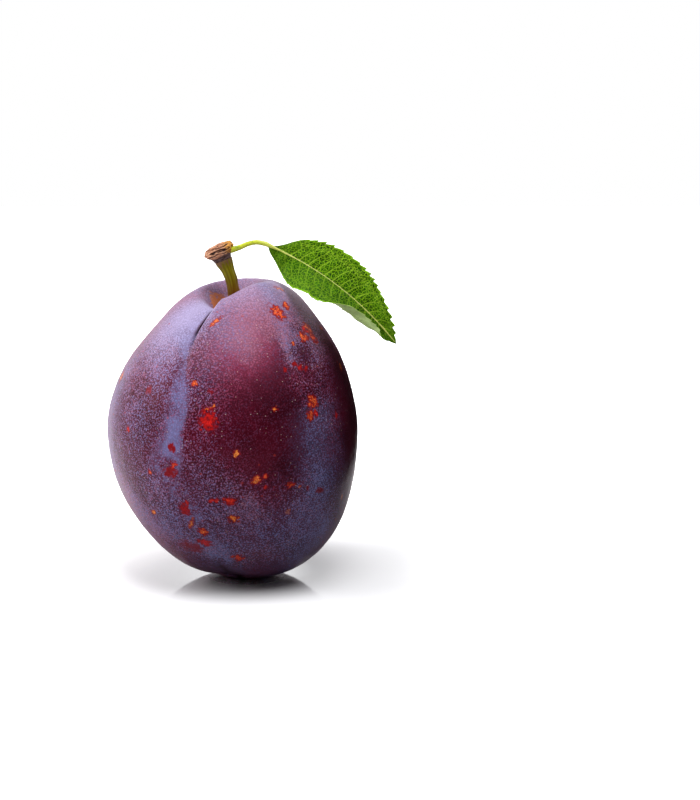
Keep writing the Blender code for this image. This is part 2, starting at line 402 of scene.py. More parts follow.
# %% The fruit's measures
BELLY_RADIUS, BELLY_HEIGHT, UPPER_HEIGHT = 25.0, 30.4, 32.1
TOP = BELLY_HEIGHT + UPPER_HEIGHT
LOWER_ROUNDNESS, UPPER_ROUNDNESS = 2.11, 1.72
SPOT_RADIUS = 4.2
SPOT_ANGLE = -math.acos((SPOT_RADIUS / BELLY_RADIUS) ** (LOWER_ROUNDNESS / 2))
DEPTH_SHARE = 0.95
LEAN, LEAN_ROUNDNESS = -2.5, 1.25
SHOULDER, SHOULDER_HEIGHT, SHOULDER_SPREAD = 0.7, 53.3, 7.0
CAVITY_X, CAVITY_DEPTH, CAVITY_RADIUS, CAVITY_STEEPNESS = -2.0, 6.4, 4.8, 2.3
CREST, CREST_TURN, CREST_SPREAD = 0.9, 30.0, 45.0
CREST_RADIUS, CREST_WIDTH = 7.5, 3.5
SUTURE_TURN, SUTURE_BEND, BEND_RISE = -19.5, -11.0, (38, 53)
SUTURE_DEPTH, RIM_DEPTH, RIM_REACH = 0.3, 5.5, 5.2
TIP_DEPTH, TIP_REACH = 0.9, 4.5
SUTURE_LEFT_WIDTH, SUTURE_WALL_WIDTH, SUTURE_SLOPE_WIDTH = 4.5, 0.45, 5.0
SUTURE_WALL_SHARE, WALL_RISE = 0.55, (38, 52)
LEFT_WIDENING, WIDENING_RISE = 3.5, (49, 58)
FOLD_DEPTH, FOLD_OFFSET, FOLD_WIDTH, FOLD_RISE = 0.9, -0.22, 0.3, (48, 52)
GROOVE_FADE = (1.5, 5.0)
print("fruit top before the cavity is pushed in, mm:", TOP)


# %% The suture
def suture_turn(z):
    """Its bearing in radians at height z: SUTURE_TURN, and SUTURE_BEND more above the bend."""
    return np.radians(SUTURE_TURN + SUTURE_BEND * rise(z, *BEND_RISE))


def suture_groove(offset, z):
    """Depth = (a little all along + e^(distance to the rim) + e^(distance to the tip)) times the
    section: one bell to the left and a wide one to the right, with a steep wall near the rim. The
    fold is a narrow bell on top of that, where the right side hangs over the left."""
    depth = SUTURE_DEPTH + RIM_DEPTH * np.exp((z - TOP) / RIM_REACH) + TIP_DEPTH * np.exp(-z / TIP_REACH)
    left = bump(offset, 0, SUTURE_LEFT_WIDTH + LEFT_WIDENING * rise(z, *WIDENING_RISE))
    wall, slope = bump(offset, 0, SUTURE_WALL_WIDTH), bump(offset, 0, SUTURE_SLOPE_WIDTH)
    share = SUTURE_WALL_SHARE * rise(z, *WALL_RISE)
    right = share * wall + (1 - share) * slope
    fold = FOLD_DEPTH * bump(offset, FOLD_OFFSET, FOLD_WIDTH) * rise(z, *FOLD_RISE)
    return depth * np.where(offset < 0, left, right) + fold


# %% The skin
def superellipse(angle):
    """Distance from the axis and height: r = R cos(angle)^(2/n), z = h sin(angle)^(2/n)."""
    lower_height = BELLY_HEIGHT / math.sin(-SPOT_ANGLE) ** (2 / LOWER_ROUNDNESS)
    power = 2 / np.where(angle > 0, UPPER_ROUNDNESS, LOWER_ROUNDNESS)
    half_height = np.where(angle > 0, UPPER_HEIGHT, lower_height)
    radius = BELLY_RADIUS * np.clip(np.cos(angle), 0, 1) ** power
    return radius, BELLY_HEIGHT + half_height * np.sign(angle) * np.abs(np.sin(angle)) ** power


def fruit_skin(turn, angle, spot):
    """Points of the skin. turn is the bearing from the front, angle the superellipse's own angle,
    and spot runs from 0 to 1 across the flat resting spot."""
    radius, z = superellipse(angle)
    radius, z = radius * spot, np.maximum(z, 0)
    radius = radius - SHOULDER * bump(z, SHOULDER_HEIGHT, SHOULDER_SPREAD)
    lean = LEAN * np.sin(math.pi * np.clip(z / TOP, 0, 1)) ** LEAN_ROUNDNESS
    lean = lean + CAVITY_X * rise(angle, 1.0, 1.5)
    groove = suture_groove(radius * (turn - suture_turn(z)), z)
    groove = groove * rise(z, 0, 1) * rise(radius, *GROOVE_FADE)
    radius = radius - groove * np.cos(angle)
    z = np.maximum(z - groove * np.sin(angle), 0)
    x, y = lean + radius * np.sin(turn), -DEPTH_SHARE * radius * np.cos(turn)
    crest = bump(turn, math.radians(CREST_TURN), math.radians(CREST_SPREAD))
    z = z + CREST * crest * bump(radius, CREST_RADIUS, CREST_WIDTH) * (angle > 0)
    away = np.hypot(x - CAVITY_X, y) / CAVITY_RADIUS
    z = z - CAVITY_DEPTH * np.exp(-(away**CAVITY_STEEPNESS)) * (angle > 0)
    return np.stack([x, y, z], axis=-1)


# %% The fruit's grid
FRUIT_AROUND, FRUIT_RINGS, SPOT_RINGS = 440, 214, 5
SUTURE_CROWDING, CAVITY_CROWDING = 0.45, 1.35


def fruit_grid():
    """Bearings crowd at the suture as t - c sin t, and angles crowd at the cavity as a power."""
    even = full_circle(FRUIT_AROUND) - math.pi
    turn = even - SUTURE_CROWDING * np.sin(even) + math.radians(SUTURE_TURN)
    share = np.linspace(0, 1, FRUIT_RINGS - SPOT_RINGS + 1)[:-1]
    angle = SPOT_ANGLE + (math.pi / 2 - SPOT_ANGLE) * (1 - (1 - share) ** CAVITY_CROWDING)
    angle = np.concatenate([np.full(SPOT_RINGS, SPOT_ANGLE), angle])
    spot = np.minimum(np.arange(1, FRUIT_RINGS + 1) / (SPOT_RINGS + 1), 1)
    return np.broadcast_arrays(turn[None, :], angle[:, None], spot[:, None])


turn, angle, spot = fruit_grid()
skin = fruit_skin(turn, angle, spot)
print("skin grid:", skin.shape, "top in mm:", round(skin[..., 2].max(), 2))


# %% Uneven growth
def grid_normals(points):
    """Unit normals: the cross product of the grid's two directions, the first one closed."""
    around = np.roll(points, -1, axis=1) - np.roll(points, 1, axis=1)
    up = np.gradient(points, axis=0)
    return unit(np.cross(around, up))


SWELL, SWELL_SIZE = 0.10, 15
DIMPLE, DIMPLE_SIZE = 0.018, 2.6
normals = grid_normals(skin)
relief = SWELL * ripple(skin, SWELL_SIZE, 3) + DIMPLE * ripple(skin, DIMPLE_SIZE, 4)
relief = relief * rise(skin[..., 2], 0.3, 5)
grown = skin + normals * relief[..., None]
print("relief in mm:", round(relief.min(), 3), "to", round(relief.max(), 3))

# %% [markdown]
# ### Where the bloom lies
#
# The grey-blue bloom is a wax that the skin grows. It is whole where nothing has touched it, along
# the suture and round the shoulders, and worn away where leaves or fingers rubbed, which bares the
# dark maroon skin. Where it is thin it shows as fine bright grains, and where it is thick it is a
# smooth veil, so both are laid out here: bloom says how many grains there are, and veil how much
# of the skin is smoothly coated. The veil also carries a painted highlight on the upper front.
# Painting by hand would look much the same, but bells added up on the grid can be changed one
# number at a time. Bearings are in degrees from the front, heights in mm.

# %% Patches of bloom
# Less bloom near the table darkens the skin there: painted shade at the foot.
BLOOM_BASE, BLOOM_SHOULDER, BLOOM_FOOT_SHADE = 0.34, 0.26, -0.30
BLOOM_PATCHES = (  # bearing, height mm, spread in degrees, spread in mm, amount
    (24, 35, 18, 12, -0.60),
    (10, 27, 26, 7, -0.06),
    (24, 45, 12, 6, -0.22),
    (2, 36, 11, 10, -0.12),
    (70, 33, 17, 16, -0.38),
    (37, 55, 9, 5, 0.42),
    (34, 48, 3.2, 4.5, 0.36),
    (44, 47.4, 6, 2.0, -0.34),
    (56, 44, 9, 7, 0.02),
    (78, 31, 12, 13, -0.40),
    (45, 20, 13, 11, 0.24),
    (41, 31, 7, 9, 0.16),
    (-38, 31, 11, 12, -0.12),
    (10, 18, 22, 7, 0.22),
    (13, 55, 20, 5.5, 0.12),
    (-56, 14, 18, 9, 0.38),
    (-20, 7, 16, 4, 0.16),
    (34, 11, 18, 6, 0.12),
    (-13, 9.5, 11, 2.6, 0.35),
    (-20, 15, 7, 3, 0.18),
    (-45, 55, 20, 7, 0.35),
    (-62, 46, 16, 9, 0.22),
    # more bloom at the left edge, which also paints part of the pale rim of reflected light there
    (-84, 30, 10, 20, 0.30),
    (-12, 33, 10, 9, -0.12),
    (0, 60, 60, 6, 0.20),
    (120, 42, 28, 14, 0.22),
    (178, 26, 34, 12, -0.26),
    (-122, 34, 22, 13, -0.18),
    (-150, 50, 30, 8, 0.20),
    (140, 12, 25, 7, 0.18),
)


def turned_away(turn, bearing):
    """Degrees between two bearings, the short way round."""
    return (np.degrees(turn) - bearing + 180) % 360 - 180


def facing(turn, bearing, spread):
    """A bell round the fruit: 1 at that bearing and about a third spread degrees away."""
    return bump(turned_away(turn, bearing), 0, spread)


def bloom_layout(turn, height):
    """BLOOM_BASE plus the bells of all the patches, more on the shoulders, and less near the table as
    painted shade.
    """
    total = BLOOM_BASE + BLOOM_SHOULDER * rise(height, 40, 58) + BLOOM_FOOT_SHADE * rise(height, 11, 2)
    for bearing, middle, wide, tall, amount in BLOOM_PATCHES:
        total = total + amount * facing(turn, bearing, wide) * bump(height, middle, tall)
    return total


# %% The pale stripe along the suture
def suture_stripe(points, turn):
    """1 in a band left of the suture, with a fairly crisp right edge and a soft left one. It widens as
    it goes down, its edges wander with a ripple, and below the belly it breaks up."""
    height, bearing = points[..., 2], np.degrees(turn)
    climb = rise(height, 28, 48)
    wander = ripple(points, 5, 14) + 0.6 * ripple(points, 1.6, 15)
    right = np.degrees(suture_turn(points[..., 2])) - 1.2 + 0.4 * climb
    left = right - 3.5 - 9.0 * (1 - climb) ** 1.5 - 14.0 * rise(height, 46, 54)
    crisp = rise(bearing + 0.6 * wander, right + 2.0, right - 2.2)
    soft = rise(bearing + 1.6 * wander, left - 6.0, left + 6.0)
    return crisp * soft * rise(height + 2.2 * wander, 22, 33) * rise(height, 58, 54)


def suture_tail(points, turn):
    """Broken wisps of wax that carry the stripe on to the bottom: a bell round a slanting line, cut
    up by a ripple."""
    height = points[..., 2]
    bearing = np.interp(height, (5, 12, 19, 27), (-9, -15, -21, -29))
    offset = np.hypot(points[..., 0], points[..., 1]) * np.radians(turned_away(turn, bearing))
    broken = rise(ripple(points, 2.2, 17) + 0.5 * ripple(points, 0.9, 18), -0.3, 0.9)
    ends = rise(height, 4, 8) * rise(height, 29, 25)
    return bump(offset, 0, 2.4) * broken * ends


height = skin[..., 2]
stripe = np.maximum(suture_stripe(skin, turn), 0.75 * suture_tail(skin, turn))
print("share of the skin in the stripe:", round(float(stripe.mean()), 3))

# %% The bloom itself
WISP_LEAN = np.array(((1.0, 0, 0.25), (0, 1.0, 0), (0.25, 0, 0.3)))  # wisps are long and slanting
patchy = 0.085 * ripple(skin, 9, 11) + 0.05 * ripple(skin, 3.0, 12)
wisps = 0.17 * ripple(skin @ WISP_LEAN, 1.7, 16) * facing(turn, 40, 16) * bump(height, 50, 9)
bloom = np.clip(bloom_layout(turn, height) + patchy + wisps, -0.25, 0.95)
print("mean bloom:", round(float(bloom.mean()), 2))

# %% How blue the wax is
ALL_HEIGHTS = (-2, -1)
BLUE_BASE, BLUE_FOOT, BLUE_STRIPE = 0.30, 0.24, 0.95
BLUE_PATCHES = (  # bearing, spread, heights over which it fades in, amount
    (-46, 32, *ALL_HEIGHTS, 0.30),
    (48, 20, *ALL_HEIGHTS, 0.40),
    (48, 20, 36, 42, -0.32),
    (-58, 24, 32, 10, -0.576),
    (12, 25, 32, 44, -0.22),
    (38, 13, 43, 50, 0.26),
    (-70, 18, 36, 45, -0.26),
)
near_foot = rise(height, 32, 10)
blueness = BLUE_BASE + BLUE_FOOT * near_foot + 0.10 * ripple(skin, 12, 13)
for bearing, spread, start, whole, amount in BLUE_PATCHES:
    blueness = blueness + amount * facing(turn, bearing, spread) * rise(height, start, whole)
blueness = np.clip(blueness + (BLUE_STRIPE - blueness) * stripe, 0, 1)
print("mean blueness:", round(float(blueness.mean()), 2))


# %% Thick wax, painted light, and the painted shade of the fold
def beside_suture(points, turn):
    """Millimetres to the right of the suture, measured round the fruit."""
    return np.hypot(points[..., 0], points[..., 1]) * (turn - suture_turn(points[..., 2]))


CAVITY_MOUTH = 7


def from_cavity(points):
    """Millimetres from the upright line through the middle of the cavity."""
    return np.hypot(points[..., 0] - CAVITY_X, points[..., 1])


def thick_wax_and_painted_light(points, turn):
    """1 where the wax is so thick that it looks pale: on the left shoulder, and at the top but less so
    inside the cavity. Also painted light: a pale band up the left side, which paints the rim of
    reflected light there, and a thin painted highlight along the lip right of the fold."""
    height = points[..., 2]
    inside = rise(from_cavity(points), CAVITY_MOUTH, 5)
    shoulder = rise(height, 42, 55) * facing(turn, -52, 28)
    top = 0.55 * rise(height, 54, 60) * (1 - 0.6 * inside)
    cavity = 0.42 * inside * (height > 50)
    # painted rim of reflected light up the left side
    side = 0.55 * facing(turn, -76, 11) * bump(height, 31, 17)
    # painted highlight along the lip right of the fold
    lip_highlight = bump(beside_suture(points, turn), 0.75, 0.28) * rise(height, 52.5, 55)
    return np.clip(np.maximum.reduce([shoulder, top, cavity, side, lip_highlight]), 0, 1)


def fold_shade(points, turn):
    """Painted shade, laid over the wax: 1 in the fold itself, which tapers towards both ends, and part
    of that in the groove's foot and on the right flank."""
    height, offset = points[..., 2], beside_suture(points, turn)
    taper = rise(height, 50.5, 52.0) * rise(height, 57.5, 55.5)
    crease_shade = 1.7 * bump(offset, FOLD_OFFSET, 0.45) * taper
    foot_shade = 0.85 * bump(offset, 0.9, 0.8) * rise(height, 8.0, 3.5)
    flank_shade = 0.68 * facing(turn, 77, 12) * bump(height, 34, 11)
    return np.clip(np.maximum.reduce([crease_shade, foot_shade, flank_shade]), 0, 1)


# painted light in the pale wax, and painted shade in the fold, the groove's foot and the right flank
pale, fold = thick_wax_and_painted_light(skin, turn), fold_shade(skin, turn)
print("share of thick wax:", round(float(pale.mean()), 3), "of fold:", round(float(fold.mean()), 3))

# %% The smooth veil and the painted highlight
veils = (
    0.46 * rise(bloom, 0.28, 0.85),
    # thick wax, with its painted rim and lip highlight
    0.78 * pale,
    np.clip(0.64 + patchy, 0, 1) * stripe,
    0.60 * rise(height, 51, 57),
    # painted highlight: a smooth pale coat on the upper front, where the key lamp's broad highlight lies
    0.66 * facing(turn, 4, 27) * bump(height, 53.5, 9),
    0.22 * facing(turn, 45, 13) * rise(height, 42, 34),
    0.14 * near_foot,
)
veil = np.maximum.reduce(veils)
print("mean veil:", round(float(veil.mean()), 3))

# %% [markdown]
# ### Freckles and scars
#
# Sunburn, insect bites and rubbing leave flecks that range from dark blood red to bright orange.
# Those that face the front are placed one by one, each with a bearing, a height, two radii in
# millimetres, a slant, a hue from 0 dark red to 1 orange, and how strongly it shows. The rest of
# the fruit gets its own from a seeded draw.

# %% The flecks of the front
FLECKS = (  # bearing, height, radius across, radius along, slant, hue, strength
    (36, 55.5, 0.95, 1.6, 35, 0.42, 1.0),
    (49, 56.3, 0.6, 0.7, 0, 0.46, 1.0),
    (-18.2, 54.0, 0.38, 1.5, -38, 0.62, 0.75),
    (59, 59.3, 0.45, 1.2, 50, 1.0, 0.6),
    (60, 51.9, 0.75, 1.3, 20, 0.44, 1.0),
    (51, 50.8, 1.1, 0.9, 0, 0.44, 1.0),
    (60.5, 50.0, 0.8, 0.9, 0, 0.38, 1.0),
    (55.5, 51.6, 0.5, 0.9, 25, 0.32, 0.9),
    (40.2, 49.8, 0.4, 0.4, 0, 0.55, 1.0),
    (40.2, 45.6, 0.5, 0.5, 0, 0.32, 0.8),
    (36.8, 46.3, 0.5, 0.4, 0, 0.15, 1.0),
    (44, 45.1, 0.5, 0.5, 0, 0.20, 1.0),
    (29.8, 45.5, 0.4, 0.4, 0, 0.15, 0.9),
    (43, 39.0, 1.0, 1.1, 0, 0.43, 0.9),
    (40.5, 36.6, 0.75, 0.9, 0, 0.42, 0.9),
    (43.5, 36.9, 0.5, 0.7, 0, 0.34, 0.9),
    (58.5, 35.4, 0.3, 0.6, 0, 0.20, 0.8),
    (22.8, 38.5, 0.55, 0.35, 0, 0.80, 1.0),
    (-8.5, 36.8, 1.4, 1.7, 0, 0.25, 1.0),
    (-6.8, 39.6, 0.35, 0.3, 0, 0.75, 0.9),
    (-9.8, 38.9, 0.3, 0.3, 0, 0.75, 0.9),
    (-9.2, 42.1, 0.5, 0.4, 0, 0.10, 0.6),
    (-18.5, 43.4, 0.55, 0.45, 30, 0.50, 0.9),
    (-43.8, 41.5, 0.6, 0.65, 0, 0.05, 0.8),
    (-52.8, 33.3, 0.5, 0.5, 0, 0.35, 0.9),
    (-25.5, 31.4, 0.5, 0.8, 25, 0.08, 1.0),
    (-24.5, 27.7, 0.6, 0.5, -30, 0.40, 1.0),
    (-26.8, 26.5, 1.1, 0.8, 0, 0.06, 1.0),
    (-37.8, 25.6, 0.35, 0.55, 0, 0.40, 0.8),
    (4.5, 30.6, 0.5, 0.6, 0, 1.0, 1.0),
    (13.2, 25.0, 0.95, 0.7, 30, 0.60, 0.9),
    (17, 25.8, 0.5, 0.4, 30, 0.40, 1.0),
    (16.5, 23.9, 0.4, 0.3, 0, 0.35, 0.7),
    (29, 23.7, 0.95, 0.4, 0, 0.45, 1.0),
    (33.8, 23.4, 0.4, 0.3, 0, 0.50, 0.5),
    (38, 22.8, 0.3, 0.6, 0, 0.05, 0.8),
    (45.5, 21.7, 1.0, 0.4, -10, 0.05, 0.7),
    (66.8, 18.3, 0.3, 0.8, 25, 1.0, 0.5),
    (28.2, 18.3, 0.5, 0.6, 25, 0.90, 0.3),
    (-7, 21.3, 0.8, 0.5, 0, 0.35, 0.8),
    (0.2, 20.9, 1.1, 0.7, -10, 0.36, 1.0),
    (0.8, 17.3, 0.95, 0.7, -15, 0.66, 1.0),
    (-43.2, 17.3, 0.5, 0.5, 0, 0.80, 0.9),
    (-23.2, 18.5, 0.9, 1.1, 10, 0.15, 0.9),
    (-20.8, 20.1, 0.3, 0.6, 0, 0.35, 0.9),
    (-21.5, 15.7, 0.4, 1.2, -30, 0.70, 0.7),
    (-16.8, 14.1, 0.9, 0.7, -30, 0.45, 1.0),
    (-28.5, 10.3, 2.0, 1.2, -15, 0.10, 0.6),
    (-17.5, 11.5, 1.3, 0.8, -20, 0.30, 0.8),
    (0, 8.1, 1.0, 0.8, 0, 0.38, 0.9),
)
print(len(FLECKS), "flecks face the front")


# %% The flecks of the sides and the back
def drawn_flecks(count, seed):
    """Seeded rows like those of FLECKS, for bearings from 78 round the back to -68 degrees. Sizes are
    0.42 mm times e^(a normal number), so most are small and a few are large."""
    rng = np.random.default_rng(seed)
    bearing = rng.uniform(78, 292, count)
    height = rng.uniform(8, 51, count)
    size = np.clip(0.42 * np.exp(rng.normal(0, 0.5, count)), 0.22, 1.7)
    stretch = rng.uniform(0.7, 1.5, count)
    slant, hue = rng.uniform(-60, 60, count), rng.beta(1.1, 1.4, count)
    strength = rng.uniform(0.5, 1, count)
    return np.stack([bearing, height, size, size * stretch, slant, hue, strength], -1)


WORN_EDGE = 1.2  # the finish eats into a fleck's edge, so each is laid out a fifth larger
flecks = np.concatenate([np.array(FLECKS, float), drawn_flecks(60, 21)])
flecks[:, 2:4] *= WORN_EDGE
print(len(flecks), "flecks in all")


# %% Laying the flecks on the skin
DARK_RED, BLOOD_RED, EMBER = np.array(((0.055, 0.001, 0.004), (0.75, 0.018, 0.014), (1.0, 0.30, 0.04)))
BLOOD_HUE = 0.34
MM_PER_DEGREE = 0.4
REACH = 1.6  # a fleck fades out at this many times its own radius


def fleck_color(hue):
    """Dark red at 0, blood red at a third, orange at 1, straight lines between."""
    red, orange = np.clip(hue / BLOOD_HUE, 0, 1), np.clip((hue - BLOOD_HUE) / (1 - BLOOD_HUE), 0, 1)
    return DARK_RED + (BLOOD_RED - DARK_RED) * red + (EMBER - BLOOD_RED) * orange


def lay_flecks(points, turn, rows):
    """For every point the nearness to its closest fleck, 1 - r / REACH where r is 1 at the fleck's
    edge, and that fleck's colour, with its strength as alpha. The cavity is left out."""
    nearness = np.zeros(turn.shape)
    hidden = (from_cavity(points) < CAVITY_MOUTH) * 1e3
    color = np.zeros((*turn.shape, 4))
    for bearing, height, across, along, slant, hue, strength in rows:
        miss = (turned_away(turn, bearing) * MM_PER_DEGREE) ** 2 + hidden
        miss = miss + (points[..., 2] - height) ** 2
        i, j = np.unravel_index(miss.argmin(), miss.shape)
        east = points[i, (j + 1) % turn.shape[1]] - points[i, j - 1]
        north = points[i + 1, j] - points[i - 1, j]
        east, north = east / np.linalg.norm(east), north / np.linalg.norm(north)
        a, b = (points - points[i, j]) @ east, (points - points[i, j]) @ north
        c, s = math.cos(math.radians(slant)), math.sin(math.radians(slant))
        away = np.sqrt(((a * c + b * s) / across) ** 2 + ((b * c - a * s) / along) ** 2)
        far = np.linalg.norm(points - points[i, j], axis=-1) > 2 * max(across, along)
        near = np.where(far, 0, np.clip(1 - away / REACH, 0, 1))
        color[near > nearness] = (*fleck_color(hue), strength)
        nearness = np.maximum(nearness, near)
    return nearness, color


fleck, fleck_tint = lay_flecks(skin, turn, flecks)
print("share of the skin in flecks:", round(float((fleck > 1 - 1 / REACH).mean()), 4))

# %% [markdown]
# ### Effects that several finishes share
#
# Two effects come back more than once: a fine grain that covers a chosen share of the surface, in
# the wax and in the flecks, and small round specks, which are pores and freckles on the skin and
# dark dots on the stalk. Each is a node group, so every finish can use it with its own size. Both
# work in millimetres.


# %% A way to make node groups
def new_group(name, inputs, outputs=("Mask",)):
    """An empty shader group, its inputs as Wires and its output sockets. inputs maps a name to its
    default number, or to None for a vector."""
    group = bpy.data.node_groups.new(name, "ShaderNodeTree")
    for label, default in inputs.items():
        kind = "NodeSocketVector" if default is None else "NodeSocketFloat"
        socket = group.interface.new_socket(name=label, in_out="INPUT", socket_type=kind)
        if default is not None:
            socket.default_value = default
    for label in outputs:
        group.interface.new_socket(name=label, in_out="OUTPUT", socket_type="NodeSocketFloat")
    given = {s.name: Wire(group, s) for s in add(group, "NodeGroupInput").outputs if s.name}
    return group, given, add(group, "NodeGroupOutput").inputs


def use_group(group, place, **inputs):
    """The mask of a group placed in place's own tree."""
    return place.node("ShaderNodeGroup", {"Place": place, **inputs}, "Mask", node_tree=group)


# %% Grain and specks
def grain_group():
    """Mask = smooth step of noise + cover - 1 around 0, so that cover is about the share covered."""
    inputs = {"Place": None, "Size": 0.4, "Cover": 0.5, "Softness": 0.12}
    group, given, out = new_group("fine_grain", inputs, ("Mask", "Noise"))
    noise = given["Place"].noise(1.0 / given["Size"], 1.5)
    spread = noise.node("ShaderNodeMapRange", {0: noise, 1: 0.3, 2: 0.7})
    level, soft = spread + given["Cover"], given["Softness"]
    level.ramp(1.0 - soft, soft + 1.0).to(out["Mask"])
    noise.to(out["Noise"])
    return group


def speck_group():
    """Mask = 1 within Radius of a scattered point, for a random Share of the points."""
    inputs = {"Place": None, "Spacing": 1.5, "Radius": 0.15, "Share": 0.7}
    group, given, out = new_group("scattered_specks", inputs)
    place, spacing, radius = given["Place"], given["Spacing"], given["Radius"]
    distance = place.node("ShaderNodeTexVoronoi", {"Vector": place, "Scale": 1.0 / spacing}, "Distance")
    lot = distance.other("Color").part(0)
    dot = (distance * spacing).ramp(radius, radius * 0.6)
    (dot * lot.math("LESS_THAN", lot, given["Share"])).to(out["Mask"])
    return group


FINE_GRAIN, SPECKS = grain_group(), speck_group()
print("groups:", FINE_GRAIN.name, SPECKS.name)


# %% Start and end of a finish
def new_finish(name, roughness, specular=0.5, tint=(1, 1, 1)):
    """A material, its Principled shader with the constants set, and its Object coordinates in mm."""
    material = bpy.data.materials.new(name)
    material.use_nodes = True
    tree = material.node_tree
    shader = tree.nodes["Principled BSDF"]
    shader.inputs["Roughness"].default_value = roughness
    shader.inputs["Specular IOR Level"].default_value = specular
    shader.inputs["Specular Tint"].default_value = (*tint, 1)
    place = source(tree, "ShaderNodeTexCoord", "Object").vector("MULTIPLY", (1 / MM, 1 / MM, 1 / MM))
    return material, shader, place


def dress(shader, color, height, depth_mm, strength):
    """Gives the shader its colour and a relief whose full height is depth_mm."""
    color.to(shader.inputs["Base Color"])
    inputs = {"Height": height, "Distance": depth_mm * MM, "Strength": strength}
    height.node("ShaderNodeBump", inputs).to(shader.inputs["Normal"])


# %% [markdown]
# ### The finish of the skin
#
# From the inside out: dark maroon skin, then the wax, as a smooth veil and as bright grains where
# there is no veil, then the flecks with their dark rims and bright sparks, and last pores, freckles,
# the painted shade of the fold, the groove's foot and the right flank, and the cork of the cavity.
# The veil also carries a painted highlight on the upper front, and the pale wax painted rims of
# reflected light. The grains are finer than any mesh, so they are noise in the finish, and the mesh
# only says where they are dense. The wax scatters light, so it is rougher than the bare skin, which
# shines.

# %% Colours of the skin
# The third colour is painted shade, for the fold, the groove's foot and the right flank.
MAROON_DEEP, MAROON, PAINTED_SHADE_COLOR = (0.026, 0.0004, 0.003), (0.050, 0.0008, 0.006), (0.012, 0.001, 0.003)
ROSE, MAUVE = (0.31, 0.045, 0.105), (0.33, 0.13, 0.205)
WAX_BLUE, WAX_PALE = (0.17, 0.185, 0.40), (0.39, 0.345, 0.56)
FLECK_RIM, OLD_EMBER, GLOW = (0.24, 0.006, 0.008), (0.12, 0.003, 0.005), (1.0, 0.34, 0.085)
PORE, FRECKLE, RUSSET = (0.70, 0.50, 0.46), (0.32, 0.03, 0.02), (0.52, 0.17, 0.03)
SKIN_SPECULAR, SKIN_TINT = 0.24, (0.95, 0.20, 0.34)
GRAIN_SIZE, LEAST_GRAINS, VEIL_HIDES = 0.285, 0.34, 0.75


# %% The coat of wax
def wax_coat(place, bared):
    """The wax's colour, how much of it there is, and the noise of its grains. bared is 1 where it is
    whole and less on a fleck. Amount = veil + grains * (1 - veil), and the grains are fewer under a
    thick veil; the veil mark also holds a painted highlight on the upper front. The colour runs from
    rose where the wax is thin to mauve, then to blue, then to pale, and the pale mark also paints
    the rim of reflected light on the left and the lip highlight."""
    cover, veil = place.mark("bloom") * bared, place.mark("veil")
    share = (cover * veil.math("MULTIPLY_ADD", veil, -VEIL_HIDES, 1.0)).larger(LEAST_GRAINS)
    grain = use_group(FINE_GRAIN, place, Size=GRAIN_SIZE, Cover=share, Softness=0.32)
    blue = place.mark("blueness") + place.noise(2.6, 1.0).around_zero(1.5)
    color = cover.ramp(0.1, 0.65).mix(ROSE, MAUVE)
    # the pale mark also paints the rim of reflected light on the left and the lip highlight
    color = cover_with(color, (blue.ramp(0.0, 1.0), WAX_BLUE), (place.mark("pale"), WAX_PALE))
    veil = veil * bared
    grains = grain * cover.ramp(-0.15, 0.48, 0.18, 0.95)
    return color, veil + grains * (1.0 - veil), grain.other("Noise")


# %% The paint of a fleck
def fleck_paint(place, level, tint):
    """The fleck's own colour inside a dark rim, a glow in the middle, sparks of the same glow where it
    isn't purely red, and a net of dried blood over all of it."""
    paint, yellow = level.ramp(0.4, 0.9).mix(FLECK_RIM, tint), tint.part(1)
    middle = level.ramp(0.65, 1.25, 0.0, 0.6) * yellow.ramp(0.012, 0.1)
    sparks = use_group(FINE_GRAIN, place, Size=0.24, Cover=0.34, Softness=0.2)
    sparks = sparks * (level.ramp(0.45, 0.9, 0.0, 0.8) * yellow.ramp(0.012, 0.06))
    net = use_group(FINE_GRAIN, place, Size=0.30, Cover=0.45, Softness=0.42) * 0.6
    return cover_with(paint, (middle.larger(sparks), GLOW), (net, OLD_EMBER))


# %% The skin's finish
def skin_finish():
    """Maroon skin, wax with its painted highlight and rims, flecks, pores, freckles, painted shade in the
    fold, and cork, laid over each other in that order.
    """
    material, shader, place = new_finish("plum_skin_finish", 0.4, SKIN_SPECULAR, SKIN_TINT)
    base = place.noise(0.12, 3.0).ramp(0.35, 0.65).mix(MAROON_DEEP, MAROON)
    nearness, russet, tint = place.mark("fleck"), place.mark("russet"), place.mark("fleck_tint", "Color")
    ragged = place.noise(1.5, 4.0)
    level = nearness + ragged.around_zero(2.2)
    shown = level.ramp(0.08, 0.62) * nearness.ramp(0.03, 0.3) * tint.other("Alpha")
    wax, amount, wax_noise = wax_coat(place, shown.ramp(0.3, 0.9, 1.0, 0.2))
    cork = (russet + ragged.around_zero(1.6)).ramp(0.3, 0.8) * russet.ramp(0.0, 0.3)
    color = cover_with(
        base,
        (amount, wax),
        (shown, fleck_paint(place, level, tint)),
        (use_group(SPECKS, place, Spacing=0.95, Radius=0.13, Share=0.55) * 0.42, PORE),
        (use_group(SPECKS, place, Spacing=2.9, Radius=0.30, Share=0.45) * 0.55, FRECKLE),
        # painted shade in the fold, the groove's foot and the right flank
        (place.mark("fold"), PAINTED_SHADE_COLOR),
        (cork * 0.85, RUSSET),
    )
    amount.ramp(0.0, 0.85, 0.32, 0.46).to(shader.inputs["Roughness"])
    peel = place.noise(0.55, 2.0)
    dress(shader, color, peel.math("MULTIPLY_ADD", peel, 1.6, wax_noise), 0.05, 0.9)
    return material


# %% The fruit in its skin
def russet_patch(points):
    """Cork in the cavity: 1 within about 4 mm of its middle, and further up its left wall."""
    away = from_cavity(points) / (1 + 0.34 * facing(turn, -108, 20))
    return rise(away, 4.8, 2.8) * rise(points[..., 2], 50, 52)


skin_marks = {"bloom": bloom, "blueness": blueness, "fleck": fleck, "fleck_tint": fleck_tint}
